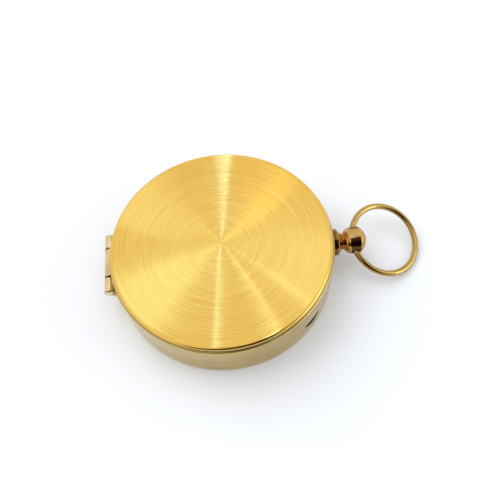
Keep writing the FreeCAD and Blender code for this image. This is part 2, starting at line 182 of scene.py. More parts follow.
def turnedBrass(name, slot, look, move=(0, 0, 0), turn=(0, 0, 0)):
    # Brass turned on a lathe and buffed: soft mirror with faint tool marks and thumb stains
    material, tree, shader = newMaterial(name, slot, Metallic=1.0)
    place = objectPlace(tree, move, turn)
    along = heightOf(tree, place)
    marks = lathePattern(tree, place, look["markSpacing"])[0]
    stain = noise(tree, place, 0.22, 4.0, 0.6)
    colour = mixColours(tree, mapRange(tree, stain, 0.0, look["stainAmount"], 0.4, 0.75), look["colour"],
                        look["stain"])
    colour = mixColours(tree, mapRange(tree, marks, 0.12, 0.0), colour, look["stain"])
    for middle in look.get("paintedShadeAt", ()):
        # painted shade: a dark band in the gap and on the edges beside it
        paintedShade = mapRange(tree, apartFrom(tree, along, middle), 0.95, 0.0, 0.1, look["paintedShadeWidth"])
        colour = mixColours(tree, paintedShade, colour, look["paintedShade"])
    if "beltShade" in look:
        # painted shade: the belt is brown below a height, except for a lighter painted highlight line along
        # its top
        half = look["beltShadeHalf"]
        belt = mapRange(tree, apartFrom(tree, along, look["beltShadeAt"]), 0.92, 0.0, half - 0.1, half)
        below = mapRange(tree, heightOf(tree, objectPlace(tree)), 1.0, 0.0, *look["beltShadeBetween"])
        colour = mixColours(tree, calculate(tree, "MULTIPLY", belt, below), colour, look["beltShade"])
    for radius, level, amount, width in look.get("shadeLineAt", ()):
        # painted shade: a dark line in a turned corner
        flat = calculateVector(tree, "MULTIPLY", place, (1, 1, 0))
        out = calculateVector(tree, "LENGTH", flat, output="Value")
        point = addNode(tree, "ShaderNodeCombineXYZ", {0: out, 1: along}).outputs[0]
        apart = calculateVector(tree, "DISTANCE", point, (radius, level, 0), output="Value")
        colour = mixColours(tree, mapRange(tree, apart, amount, 0.0, 0.05, width), colour, look["shadeLine"])
    smear = calculate(tree, "ADD", marks, stain)
    connect(tree, shader, Base_Color=colour, Normal=bumpNormal(tree, marks, look["bump"]),
            Roughness=mapRange(tree, smear, *look["roughness"], 0.7, 1.3))
    return material


caseLook = {"colour": "#CDB26A", "stain": "#A57F4A", "stainAmount": 0.35, "markSpacing": 0.3,
            "roughness": (0.10, 0.2), "bump": 0.12}
# a painted shade line is given by radius and height of its corner, its amount and its width; on the lid's
# edge it paints the dark reflection in the step's corner
edgeLook = dict(caseLook, shadeLineAt=((24.65, 11.5, 0.5, 0.24),), shadeLine="#5A4020")
insideLook = {"colour": "#DCBD7A", "stain": "#C29A58", "stainAmount": 0.3, "markSpacing": 0.35,
              "roughness": (0.28, 0.42), "bump": 0.3}
# the hinge has painted shade: dark bands in the gaps between its knuckles and a dark line round the near
# knuckle's end
hingeLook = {"colour": "#E4CB93", "stain": "#A87C42", "stainAmount": 0.5, "markSpacing": 0.4,
             "roughness": (0.10, 0.2), "bump": 0.15, "paintedShadeAt": (-2.15, 5.15), "paintedShadeWidth": 0.32,
             "paintedShade": "#33210F", "shadeLineAt": ((1.15, -5.97, 0.9, 0.4),), "shadeLine": "#33210F"}
pinLook = {"colour": "#F0DCA8", "stain": "#C9A05C", "stainAmount": 0.2, "markSpacing": 0.3,
           "roughness": (0.08, 0.16), "bump": 0.1}
# the pendant has painted shade: a dark band on its flange, and a belt brown below a height with a lighter
# painted highlight line along its top
pendantLook = {"colour": "#CDA560", "stain": "#8A5F2C", "stainAmount": 0.4, "markSpacing": 0.25,
               "roughness": (0.08, 0.16), "bump": 0.15, "paintedShadeAt": (25.6,), "paintedShadeWidth": 0.95,
               "paintedShade": "#5E3D1E", "beltShade": "#4A2E14", "beltShadeBetween": (8.75, 9.05),
               "beltShadeAt": 30.2, "beltShadeHalf": 1.15}
bowLook = {"colour": "#BC9E58", "stain": "#8E6C34", "stainAmount": 0.4, "markSpacing": 0.5,
           "roughness": (0.04, 0.08), "bump": 0.06}
ringLook = {"colour": "#DDC084", "stain": "#C4A05E", "stainAmount": 0.25, "markSpacing": 0.3,
            "roughness": (0.3, 0.42), "bump": 0.2}
fixingLook = {"colour": "#D9B871", "stain": "#A27A40", "stainAmount": 0.3, "markSpacing": 0.2,
              "roughness": (0.2, 0.34), "bump": 0.2}


def silveredBrass():
    # Brass rubbed with silver chloride: a matt, warm white with a fine circular grain
    material, tree, shader = newMaterial("silvered_brass", "silvered_dial", Metallic=0.35)
    place = objectPlace(tree)
    grain = lathePattern(tree, place, 0.35)[0]
    age = mapRange(tree, noise(tree, place, 0.12, 3.0), 0.0, 0.6)
    colour = mixColours(tree, age, "#E4E2DA", "#D6D1BF")
    colour = mixColours(tree, mapRange(tree, grain, 0.2, 0.0), colour, "#B9B6AC")
    connect(tree, shader, Base_Color=colour, Normal=bumpNormal(tree, grain, 0.15),
            Roughness=mapRange(tree, noise(tree, place, 6.0), 0.42, 0.56))
    return material


def blackWax():
    # Engraved lines filled with black wax: dull, with a slightly greyer worn middle
    material, tree, shader = newMaterial("black_wax_filling", "silvered_dial")
    wear = noise(tree, objectPlace(tree), 1.5, 3.0)
    connect(tree, shader, Base_Color=mixColours(tree, mapRange(tree, wear, 0.0, 1.0), "#171614", "#2E2B27"),
            Roughness=mapRange(tree, wear, 0.5, 0.7))
    return material


def windowGlass():
    # Ground and polished flat glass: clear, with the faintest green and a little dust
    material, tree, shader = newMaterial("flat_glass", "crystal_glass", IOR=1.52,
                                         Transmission_Weight=1.0)
    dust = noise(tree, objectPlace(tree), 0.5, 4.0)
    connect(tree, shader, Base_Color=mixColours(tree, mapRange(tree, dust, 0.0, 1.0), "#FBFFFD", "#F3FAF6"),
            Roughness=mapRange(tree, dust, 0.0, 0.035, 0.5, 0.8))
    return material


def blackRubber():
    # Moulded nitrile rubber: near black, dull, with a fine matt grain
    material, tree, shader = newMaterial("nitrile_rubber", "gasket_rubber")
    grain = noise(tree, objectPlace(tree), 4.0, 3.0)
    connect(tree, shader, Base_Color=mixColours(tree, grain, "#1B1B1A", "#2C2B29"),
            Roughness=mapRange(tree, grain, 0.6, 0.8), Normal=bumpNormal(tree, grain, 0.3, 0.02))
    return material


def bluedSteel():
    # Spring steel: the north arm heated until it turns blue, the south arm left bright
    material, tree, shader = newMaterial("heat_blued_steel", "blued_steel", Metallic=1.0)
    place = objectPlace(tree)
    north = addNode(tree, "ShaderNodeSeparateXYZ", {0: place}).outputs[0]
    grain = noise(tree, calculateVector(tree, "MULTIPLY", place, (0.6, 9.0, 1.0)), 1.0, 3.0)
    tint = mapRange(tree, noise(tree, place, 0.35), 0.0, 1.0)
    colour = mixColours(tree, mapRange(tree, north, 0.0, 1.0, -0.3, 0.3),
                        mixColours(tree, grain, "#B4B6B9", "#D2D3D5"),
                        mixColours(tree, tint, "#1B2F86", "#3A3590"))
    connect(tree, shader, Base_Color=colour, Roughness=mapRange(tree, grain, 0.2, 0.36),
            Normal=bumpNormal(tree, grain, 0.1))
    return material


def groundSteel():
    # Hardened steel rod, ground to a point: grey with fine rings
    material, tree, shader = newMaterial("ground_hardened_steel", "hardened_steel", Metallic=1.0)
    rings = lathePattern(tree, objectPlace(tree), 0.12)[0]
    connect(tree, shader, Base_Color=mixColours(tree, rings, "#A6A9AE", "#C9CBCF"),
            Roughness=mapRange(tree, rings, 0.18, 0.32))
    return material


def polishedRuby():
    # Synthetic ruby: deep red and glossy, with light coming through at its edge
    material, tree, shader = newMaterial("synthetic_ruby", "ruby", IOR=1.76, Transmission_Weight=0.6)
    depth = noise(tree, objectPlace(tree), 1.2)
    connect(tree, shader, Base_Color=mixColours(tree, depth, "#B01030", "#D8285A"),
            Roughness=mapRange(tree, depth, 0.03, 0.1))
    return material


hingeAxis = {"x": -26.2, "middle": 1.5, "z": 6.1}
pendantAxis = {"z": 6.3}

lidTopBrass = spunBrushedBrass()
lidEdgeBrass = turnedBrass("buffed_brass_lid", "lid_brass", edgeLook)
lidInsideBrass = turnedBrass("turned_brass_lid_inside", "lid_brass", insideLook)
caseBrass = turnedBrass("buffed_brass_case", "case_brass", caseLook)
caseInsideBrass = turnedBrass("turned_brass_case_inside", "case_brass", insideLook)
aboutHinge = {"move": (-hingeAxis["x"], hingeAxis["z"], 0), "turn": (math.radians(90), 0, 0)}
hingeBrass = turnedBrass("buffed_brass_hinge", "hinge_brass", hingeLook, **aboutHinge)
pinBrass = turnedBrass("riveted_brass_pin", "hinge_pin_brass", pinLook, **aboutHinge)
aboutPendant = {"move": (pendantAxis["z"], 0, 0), "turn": (0, math.radians(-90), 0)}
pendantBrass = turnedBrass("turned_brass_pendant", "pendant_brass", pendantLook, **aboutPendant)
pendantFixingBrass = turnedBrass("turned_brass_nut", "fixing_brass", fixingLook, **aboutPendant)
bowBrass = turnedBrass("polished_brass_wire", "bow_brass", bowLook)
fixingBrass = turnedBrass("turned_brass_fixings", "fixing_brass", fixingLook)
degreeRingBrass = turnedBrass("satin_brass_degree_ring", "degree_ring_brass", ringLook)
springBrass = turnedBrass("drawn_brass_wire", "spring_brass", fixingLook)
capBrass = turnedBrass("turned_brass_cap", "cap_brass", fixingLook)
dialSilver = silveredBrass()
waxBlack = blackWax()
crystalGlass = windowGlass()
gasketRubber = blackRubber()
needleSteel = bluedSteel()
pointSteel = groundSteel()
rubyRed = polishedRuby()
print("finishes made")


# Shapes
def placed(bm, matrix):
    bmesh.ops.transform(bm, verts=bm.verts, matrix=matrix)
    return bm


def turnBy(degrees, axis="Z"):
    return Matrix.Rotation(math.radians(degrees), 4, axis)


def rounded(bm, geom, offset, segments=2, affect="EDGES"):
    bmesh.ops.bevel(bm, geom=geom, offset=offset, offset_type="OFFSET", segments=segments, profile=0.5,
                    affect=affect, material=-1)


def outline(sizes, *points):
    # Points of an outline, whose values are numbers or names of the piece's sizes
    return [[sizes.get(value, value) for value in point] for point in points]


def turnedShape(profile, steps=192, sweep=360.0, start=0.0):
    # Spins an outline of (radius, height, rounding) about Z; rounding is optional
    bm = bmesh.new()
    verts = [bm.verts.new((point[0], 0, point[1])) for point in profile]
    for pair in zip(verts, verts[1:]):
        bm.edges.new(pair)
    if profile[0][0] > 0 or profile[-1][0] > 0:
        bm.edges.new((verts[-1], verts[0]))
    for vert, point in zip(verts, profile):
        if len(point) == 3:
            rounded(bm, [vert], point[2], 6, "VERTICES")
    whole = sweep == 360.0
    geom = bm.verts[:] + bm.edges[:]
    if not whole:
        geom += bmesh.ops.contextual_create(bm, geom=bm.edges[:])["faces"]
    placed(bm, turnBy(start))
    bmesh.ops.spin(bm, geom=geom, cent=(0, 0, 0), axis=(0, 0, 1), angle=math.radians(sweep),
                   steps=steps, use_merge=whole)
    bmesh.ops.remove_doubles(bm, verts=bm.verts, dist=0.0005)
    bmesh.ops.recalc_face_normals(bm, faces=bm.faces)
    return bm


def rod(radius, length, start, direction, steps=48, rounding=0.0):
    # A plain turned rod from a start point along a direction
    edge = (rounding,) if rounding else ()
    bm = turnedShape([(0, 0), (radius, 0, *edge), (radius, length, *edge), (0, length)], steps)
    turn = Vector((0, 0, 1)).rotation_difference(Vector(direction)).to_matrix().to_4x4()
    return placed(bm, Matrix.Translation(start) @ turn)


def box(size, place):
    # A block of this size, whose middle is put in place by a matrix
    bm = bmesh.new()
    bmesh.ops.create_cube(bm, size=1.0)
    return placed(bm, place @ Matrix.Diagonal((*size, 1)))


def drawnOut(points, direction):
    # A flat outline drawn out along a direction
    bm = bmesh.new()
    face = bm.faces.new([bm.verts.new(point) for point in points])
    side = bmesh.ops.extrude_face_region(bm, geom=[face])["geom"]
    bmesh.ops.translate(bm, verts=[v for v in side if isinstance(v, bmesh.types.BMVert)], vec=direction)
    bmesh.ops.recalc_face_normals(bm, faces=bm.faces)
    return bm


def joined(*shapes):
    # One bmesh of several closed shapes
    whole = bmesh.new()
    for shape in shapes:
        mesh = bpy.data.meshes.new("part")
        shape.to_mesh(mesh)
        shape.free()
        whole.from_mesh(mesh)
        bpy.data.meshes.remove(mesh)
    return whole


def archPoints(fromPoint, throughPoint, toPoint, count):
    # Points on the arc through three (radius, height) points, without its two ends
    ax, ay = fromPoint
    bx, by = throughPoint
    cx, cy = toPoint
    d = 2 * (ax * (by - cy) + bx * (cy - ay) + cx * (ay - by))
    ux = ((ax ** 2 + ay ** 2) * (by - cy) + (bx ** 2 + by ** 2) * (cy - ay)
          + (cx ** 2 + cy ** 2) * (ay - by)) / d
    uy = ((ax ** 2 + ay ** 2) * (cx - bx) + (bx ** 2 + by ** 2) * (ax - cx)
          + (cx ** 2 + cy ** 2) * (bx - ax)) / d
    first = math.atan2(ay - uy, ax - ux)
    last = math.atan2(cy - uy, cx - ux)
    turn = (last - first + math.pi) % (2 * math.pi) - math.pi
    size = math.hypot(ax - ux, ay - uy)
    return [(ux + size * math.cos(first + turn * i / count), uy + size * math.sin(first + turn * i / count))
            for i in range(1, count)]


def domePoints(radius, rim, crown, count):
    # Points on a round dome over a rim of this radius, without its rim and its crown on the axis
    height = crown - rim
    sphere = (radius ** 2 + height ** 2) / (2 * height)
    half = math.asin(radius / sphere) / 2
    middle = (sphere * math.sin(half), crown - sphere * (1 - math.cos(half)))
    return archPoints((radius, rim), middle, (0, crown), count)


def makeObject(name, bm, scale=mm):
    bmesh.ops.scale(bm, verts=bm.verts, vec=(scale, scale, scale))
    mesh = bpy.data.meshes.new(name)
    bm.to_mesh(mesh)
    bm.free()
    piece = bpy.data.objects.new(name, mesh)
    bpy.context.scene.collection.objects.link(piece)
    return piece


def cut(piece, *cutters, operation="DIFFERENCE"):
    # Boolean with closed shapes, applied, so that no modifier stays on the piece
    for shape in cutters:
        tool = makeObject("cutter", shape)
        boolean = piece.modifiers.new("cut", "BOOLEAN")
        boolean.operation = operation
        boolean.solver = "EXACT"
        boolean.object = tool
        graph = bpy.context.evaluated_depsgraph_get()
        done = bpy.data.meshes.new_from_object(piece.evaluated_get(graph))
        piece.modifiers.clear()
        used = (piece.data, tool.data)
        piece.data = done
        bpy.data.objects.remove(tool)
        for mesh in used:
            bpy.data.meshes.remove(mesh)


def finishPiece(piece, body, nodes, materials, sharp=35.0, pick=None):
    # Smooth shading with crisp corners, finishes, and the body that carries the piece
    mesh = piece.data
    name = nodes[0] + "_looks" if nodes else piece.name
    piece.name = name
    mesh.name = name
    for face in mesh.polygons:
        face.use_smooth = True
    mesh.set_sharp_from_angle(angle=math.radians(sharp))
    mesh.materials.clear()
    for material in materials:
        mesh.materials.append(material)
    for face in mesh.polygons:
        face.material_index = pick(face.center / mm, face.normal) if pick else 0
    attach(piece, body)
    if nodes:
        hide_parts(*nodes)


def turnedPiece(body, node, material, profile, steps, *span):
    # A piece that is turned and needs no more work
    finishPiece(makeObject(node, turnedShape(profile, steps, *span)), body, [node], [material])


# Lid; the rings are extra circles on its flat faces, which keep their shading flat
lidSizes = {"radius": 25.0, "topRadius": 24.65, "bottom": 5.55, "top": 12.5, "step": 11.45,
            "inside": 24.1, "ceiling": 11.6, "edgeRadius": 0.6, "stepRound": 0.3, "innerChamfer": 0.4,
            "rimBreak": 0.06, "innerRing": 8, "middleRing": 16, "outerRing": 23.8, "wallRing": 9.0,
            "slotRadius": 1.85, "slotFrom": 23.2, "slotLength": 4.0, "slotOverlap": 0.05,
            "brushedFrom": 11.9, "brushedSlope": 0.45, "insideTo": 24.15}

lidPiece = makeObject("lid", turnedShape(outline(
    lidSizes, (0, "top"), ("innerRing", "top"), ("middleRing", "top"), ("outerRing", "top"),
    ("topRadius", "top", "edgeRadius"), ("topRadius", "step"), ("radius", "step", "stepRound"),
    ("radius", "wallRing"), ("radius", "bottom", "rimBreak"), ("inside", "bottom", "rimBreak"),
    ("inside", "ceiling", "innerChamfer"), ("middleRing", "ceiling"), ("innerRing", "ceiling"),
    (0, "ceiling")), 256))
slotLength, overlap = lidSizes["slotLength"], lidSizes["slotOverlap"]
cut(lidPiece, rod(lidSizes["slotRadius"], slotLength + 2 * overlap,
                  (lidSizes["slotFrom"] - overlap, 0, pendantAxis["z"]), (1, 0, 0), 64),
    box((slotLength, 2 * lidSizes["slotRadius"], slotLength),
        Matrix.Translation((lidSizes["slotFrom"] + slotLength / 2, 0, pendantAxis["z"] - slotLength / 2))))


def lidFinish(centre, normal):
    # brushed on top and a little way over its rounded edge, buffed below that, turned inside
    if normal.z > lidSizes["brushedSlope"] and centre.z > lidSizes["brushedFrom"]:
        return 0
    return 2 if math.hypot(centre.x, centre.y) < lidSizes["insideTo"] else 1


finishPiece(lidPiece, "lid", ["lid"], [lidTopBrass, lidEdgeBrass, lidInsideBrass], pick=lidFinish)
print("lid made")


# Case
caseSizes = {"radius": 25.0, "seam": 5.5, "baseEdge": 0.5, "rimBreak": 0.06, "spigot": 23.7,
             "spigotTop": 11.05, "leadIn": 0.25, "well": 22.7, "wellRound": 0.08, "dialSeat": 2.9,
             "cavity": 21.2, "floor": 1.2, "ring": 12, "springGroove": 23.0, "grooveBottom": 9.85,
             "grooveTop": 10.65, "insideTo": 24.2, "insideFrom": 1.1}
notchSizes = {"angle": -44.5, "radius": 2.85, "depth": 1.15, "length": 2.0, "drop": 1.85, "above": 0.02}
dipSizes = {"radius": 1.55, "length": 4.0}
beadSizes = {"root": 23.2, "spigot": 23.7, "out": 23.95, "low": 6.0, "middle": 6.5, "high": 7.0,
             "round": 0.15, "from": 12.0, "sweep": 40.0}

casePiece = makeObject("case", turnedShape(outline(
    caseSizes, (0, 0), ("ring", 0), ("radius", 0, "baseEdge"), ("radius", "seam", "rimBreak"),
    ("spigot", "seam"), ("spigot", "spigotTop", "leadIn"), ("well", "spigotTop", "wellRound"),
    ("well", "grooveTop"), ("springGroove", "grooveTop"), ("springGroove", "grooveBottom"),
    ("well", "grooveBottom"), ("well", "dialSeat"), ("cavity", "dialSeat"), ("cavity", "floor"),
    ("ring", "floor"), (0, "floor")), 256))

# the thumb nick is a round cut that stops at the seam
notchOut = turnBy(notchSizes["angle"]) @ Vector((1, 0, 0))
notchLevel = caseSizes["seam"] + notchSizes["radius"] - notchSizes["drop"]
notch = rod(notchSizes["radius"], notchSizes["length"],
            notchOut * (caseSizes["radius"] - notchSizes["depth"]) + Vector((0, 0, notchLevel)), notchOut, 96)
bmesh.ops.bisect_plane(notch, geom=notch.verts[:] + notch.edges[:] + notch.faces[:],
                       plane_co=(0, 0, caseSizes["seam"] + notchSizes["above"]), plane_no=(0, 0, 1),
                       clear_outer=True)
bmesh.ops.holes_fill(notch, edges=[edge for edge in notch.edges if edge.is_boundary])
collarDip = rod(dipSizes["radius"], dipSizes["length"], (caseSizes["spigot"], 0, pendantAxis["z"]),
                (1, 0, 0), 64)
cut(casePiece, notch, collarDip)
for side in (1, -1):
    bead = turnedShape(outline(beadSizes, ("root", "low"), ("spigot", "low"), ("out", "middle", "round"),
                               ("spigot", "high"), ("root", "high")),
                       32, side * beadSizes["sweep"], side * beadSizes["from"])
    cut(casePiece, bead, operation="UNION")


def caseFinish(centre, normal):
    flat = math.hypot(centre.x, centre.y)
    return 1 if flat < caseSizes["insideTo"] and centre.z > caseSizes["insideFrom"] else 0


finishPiece(casePiece, "case", ["case_body"], [caseBrass, caseInsideBrass], pick=caseFinish)
print("case made")


# Hinge; the web is the bend of sheet between a leaf and its knuckle
hingeSizes = {"knuckleRadius": 1.15, "knuckleRound": 0.2, "middleLength": 7.3, "endLength": 3.7,
              "gap": 0.12, "wall": 25.0, "leafOut": 25.55, "leafBottom": 3.2, "leafTop": 4.6,
              "leafRound": 0.12, "caseFoot": 4.2, "caseSeam": 5.4, "lidFoot": 8.2, "lidSeam": 5.65,
              "webReach": 0.55, "webFlank": 125.0, "webInner": -23.2, "cutterBottom": -1.0,
              "cutterLength": 14.0}
barrelHalf = hingeSizes["middleLength"] / 2 + hingeSizes["endLength"]
pinSizes = {"radius": 0.55, "head": 0.85, "headFrom": barrelHalf, "headRound": 0.06, "crown": 0.4675,
            "crownAt": barrelHalf + 0.2752, "end": barrelHalf + 0.32}


def knuckle(start, length):
    return rod(hingeSizes["knuckleRadius"], length, (hingeAxis["x"], start, hingeAxis["z"]), (0, 1, 0),
               64, hingeSizes["knuckleRound"])


def webShape(start, length, foot, seam):
    # Drawn side on, then drawn out along Y
    up = 1 if foot > seam else -1
    flank = math.radians(hingeSizes["webFlank"])
    points = [(hingeAxis["x"], hingeAxis["z"]), (-hingeSizes["wall"], seam), (hingeSizes["webInner"], seam),
              (hingeSizes["webInner"], foot), (-hingeSizes["leafOut"], foot),
              (-hingeSizes["leafOut"], foot - up * hingeSizes["webReach"]),
              (hingeAxis["x"] + hingeSizes["knuckleRadius"] * math.cos(flank),
               hingeAxis["z"] + up * hingeSizes["knuckleRadius"] * math.sin(flank))]
    return drawnOut([(x, start, z) for x, z in points], (0, length, 0))


def makeLeaf(name, foot, seam, spans):
    # The webs of one leaf, cut back to the round wall
    leaf = makeObject(name, joined(*(webShape(*span, foot, seam) for span in spans)))
    cut(leaf, rod(hingeSizes["wall"], hingeSizes["cutterLength"], (0, 0, hingeSizes["cutterBottom"]),
                  (0, 0, 1), 256))
    return leaf


# each span is the start and the length of one knuckle
endLength = hingeSizes["endLength"] - hingeSizes["gap"] / 2
endSpans = [(hingeAxis["middle"] - barrelHalf, endLength),
            (hingeAxis["middle"] + barrelHalf - endLength, endLength)]
caseLeaf = makeLeaf("caseLeaf", hingeSizes["caseFoot"], hingeSizes["caseSeam"], endSpans)
leafFrom = 180 - math.degrees(math.asin((barrelHalf + hingeAxis["middle"]) / hingeSizes["wall"]))
leafTo = 180 + math.degrees(math.asin((barrelHalf - hingeAxis["middle"]) / hingeSizes["wall"]))
strip = turnedShape(outline(hingeSizes, ("wall", "leafBottom"), ("leafOut", "leafBottom", "leafRound"),
                            ("leafOut", "leafTop", "leafRound"), ("wall", "leafTop")),
                    40, leafTo - leafFrom, leafFrom)
cut(caseLeaf, strip, *(knuckle(*span) for span in endSpans), operation="UNION")
finishPiece(caseLeaf, "case", ["hinge_case_leaf"], [hingeBrass])

middleLength = hingeSizes["middleLength"] - hingeSizes["gap"]
middleSpan = (hingeAxis["middle"] - middleLength / 2, middleLength)
lidLeaf = makeLeaf("lidLeaf", hingeSizes["lidFoot"], hingeSizes["lidSeam"], [middleSpan])
cut(lidLeaf, knuckle(*middleSpan), operation="UNION")
finishPiece(lidLeaf, "lid", ["hinge_lid_leaf"], [hingeBrass])

pinEnd = outline(pinSizes, ("radius", "headFrom"), ("head", "headFrom", "headRound"), ("crown", "crownAt"),
                 (0, "end"))
otherEnd = [[radius, -height, *rounding] for radius, height, *rounding in reversed(pinEnd)]
pinShape = placed(turnedShape(otherEnd + pinEnd, 48),
                  Matrix.Translation((hingeAxis["x"], hingeAxis["middle"], hingeAxis["z"]))
                  @ turnBy(-90, "X"))
finishPiece(makeObject("hingePin", pinShape), "case", ["hinge_pin"], [pinBrass], 50)
print("hinge made")


# Pendant and bow
pendantSizes = {"shankEnd": 21.205, "shank": 0.8, "shankRound": 0.12, "collarFrom": 23.7, "collar": 1.5,
                "flangeBack": 25.2, "flange": 3.05, "flangeBackRound": 0.12, "flangeFront": 26.45,
                "flangeRound": 0.25, "cone": 2.75, "neck": 1.75, "neckFrom": 27.55, "ballBack": 27.65,
                "bulge": (2.55, 28.217), "ball": 3.0, "beltFrom": 29.0, "beltFromRound": 0.05,
                "beltTo": 31.4, "beltToRound": 0.06, "nose": 33.0, "ballMiddle": 30.2, "bowHole": 1.0686,
                "holeLength": 10.0, "roll": 12.7}
bowSizes = {"radius": 8.3, "wire": 0.7, "reach": 7.991, "droop": 18.311}
nutSizes = {"flats": 2.6, "middle": 21.855, "thickness": 1.0, "chamfer": 0.1, "washer": 1.4,
            "washerBore": 0.84, "washerRound": 0.05, "washerFrom": 22.355, "washerTo": 22.655}


def alongPendant(bm):
    return placed(bm, Matrix.Translation((0, 0, pendantAxis["z"])) @ turnBy(90, "Y"))


ball, beltFrom, beltTo, nose = (pendantSizes[key] for key in ("ball", "beltFrom", "beltTo", "nose"))
stud = makeObject("pendant", alongPendant(turnedShape([
    *outline(pendantSizes, (0, "shankEnd"), ("shank", "shankEnd", "shankRound"), ("shank", "collarFrom"),
             ("collar", "collarFrom"), ("collar", "flangeBack"),
             ("flange", "flangeBack", "flangeBackRound"), ("flange", "flangeFront", "flangeRound"),
             ("cone", "flangeFront"), ("neck", "neckFrom"), ("neck", "ballBack")),
    *archPoints((pendantSizes["neck"], pendantSizes["ballBack"]), pendantSizes["bulge"],
                (ball, beltFrom), 10),
    *outline(pendantSizes, ("ball", "beltFrom", "beltFromRound"), ("ball", "beltTo", "beltToRound")),
    *domePoints(ball, beltTo, nose, 14),
    (0, nose)], 128)))
roll = math.radians(pendantSizes["roll"])
bowAxis = Vector((0, math.cos(roll), math.sin(roll)))
ballMiddle = Vector((pendantSizes["ballMiddle"], 0, pendantAxis["z"]))
cut(stud, rod(pendantSizes["bowHole"], pendantSizes["holeLength"],
              ballMiddle - bowAxis * pendantSizes["holeLength"] / 2, bowAxis, 64))
finishPiece(stud, "case", ["pendant_stud"], [pendantBrass], 30)

droop = math.radians(bowSizes["droop"])
outward = Vector((1, 0, 0)) * math.cos(droop) - Vector((1, 0, 0)).cross(bowAxis) * math.sin(droop)
bow = bmesh.new()
bmesh.ops.create_circle(bow, segments=32, radius=bowSizes["wire"])
placed(bow, Matrix.Translation((bowSizes["radius"], 0, 0)) @ turnBy(90, "X"))
bmesh.ops.spin(bow, geom=bow.verts[:] + bow.edges[:], cent=(0, 0, 0), axis=(0, 0, 1),
               angle=math.radians(360), steps=192, use_merge=True)
bmesh.ops.recalc_face_normals(bow, faces=bow.faces)
lay = Matrix((outward, bowAxis, outward.cross(bowAxis))).transposed().to_4x4()
placed(bow, Matrix.Translation(ballMiddle + outward * bowSizes["reach"]) @ lay)
finishPiece(makeObject("bow", bow), "bow", ["bow_ring"], [bowBrass])

nut = bmesh.new()
bmesh.ops.create_cone(nut, cap_ends=True, segments=6, radius1=nutSizes["flats"] / math.sqrt(3),
                      radius2=nutSizes["flats"] / math.sqrt(3), depth=nutSizes["thickness"])
rounded(nut, nut.edges[:], nutSizes["chamfer"])
placed(nut, Matrix.Translation((0, 0, nutSizes["middle"])))
finishPiece(makeObject("nut", alongPendant(nut)), "case", ["pendant_nut"], [pendantFixingBrass])
nutWasher = turnedShape(outline(nutSizes, ("washerBore", "washerFrom"),
                                ("washer", "washerFrom", "washerRound"),
                                ("washer", "washerTo", "washerRound"), ("washerBore", "washerTo")), 48)
finishPiece(makeObject("nutWasher", alongPendant(nutWasher)), "case", ["pendant_washer"],
            [pendantFixingBrass])
print("pendant and bow made")


# Dial and degree ring; ticks are given by inner and outer radius, width and count
dialSizes = {"seat": 2.9, "top": 3.5, "radius": 22.6, "hole": 1.35, "ring": 8, "round": 0.05,
             "ticks": ((17.4, 18.6, 0.12, 72), (16.7, 18.6, 0.2, 8)), "circles": (18.6, 16.5, 3.4),
             "circleWidth": 0.1, "letterHeight": 2.625, "letterCircle": 15.1}
roseSizes = {"inner": 3.5, "shoulder": 5.0, "edge": 0.06, "lift": 0.01, "thickness": 0.015,
             "long": (11.8, 0.85), "short": (8.4, 0.68)}
screwSizes = {"circle": 13.0, "turns": (45, 225), "end": 1.4, "shank": 0.5, "seat": 3.5, "head": 1.1,
              "top": 4.0, "headRound": 0.14, "slot": (3.0, 0.28, 0.44)}
ringSizes = {"bore": 19.2, "wallOut": 19.8, "bottom": 3.5, "shelf": 7.9, "top": 8.4, "outer": 22.6,
             "round": 0.12, "ticks": ((19.35, 19.85, 0.06, 180), (19.35, 20.1, 0.09, 36)),
             "numberHeight": 0.95, "numberCircle": 20.75}
inkThickness = 0.02

turnedPiece("case", "dial_plate", dialSilver, outline(
    dialSizes, ("hole", "seat"), ("ring", "seat"), ("radius", "seat"), ("radius", "top", "round"),
    ("ring", "top"), ("hole", "top", "round")), 192)


def strokes(level, inner, outer, width, count):
    # Engraved lines that point at the middle, set out round a circle
    bm = box((outer - inner, width, inkThickness),
             Matrix.Translation(((inner + outer) / 2, 0, level + inkThickness / 2)))
    if count > 1:
        bmesh.ops.spin(bm, geom=bm.faces[:], cent=(0, 0, 0), axis=(0, 0, 1),
                       angle=math.radians(360 - 360 / count), steps=count - 1, use_duplicate=True)
    return bm


def lettering(text, height, circle, turn, level):
    # One filled number or letter, flat on the metal, with its top away from the middle
    curve = bpy.data.curves.new("letter", "FONT")
    curve.body = text
    curve.size = height / 0.7  # a capital is 0.7 of the size high
    curve.align_x = "CENTER"
    curve.resolution_u = 3
    curve.extrude = inkThickness / 2
    holder = bpy.data.objects.new("letter", curve)
    bpy.context.scene.collection.objects.link(holder)
    mesh = bpy.data.meshes.new_from_object(holder.evaluated_get(bpy.context.evaluated_depsgraph_get()))
    bpy.data.objects.remove(holder)
    bpy.data.curves.remove(curve)
    bm = bmesh.new()
    bm.from_mesh(mesh)
    bpy.data.meshes.remove(mesh)
    bmesh.ops.remove_doubles(bm, verts=bm.verts, dist=0.0001)
    bmesh.ops.recalc_face_normals(bm, faces=bm.faces)
    lift = Matrix.Translation((circle - height / 2, 0, level + inkThickness / 2))
    return placed(bm, turnBy(turn) @ lift @ turnBy(-90))


def rosePoint(reach, halfWidth):
    # Half of one long lozenge of the compass rose
    level = dialSizes["top"] + roseSizes["lift"]
    return drawnOut([(roseSizes["inner"], 0, level), (roseSizes["shoulder"], halfWidth, level),
                     (reach, 0, level)], (0, 0, roseSizes["thickness"]))


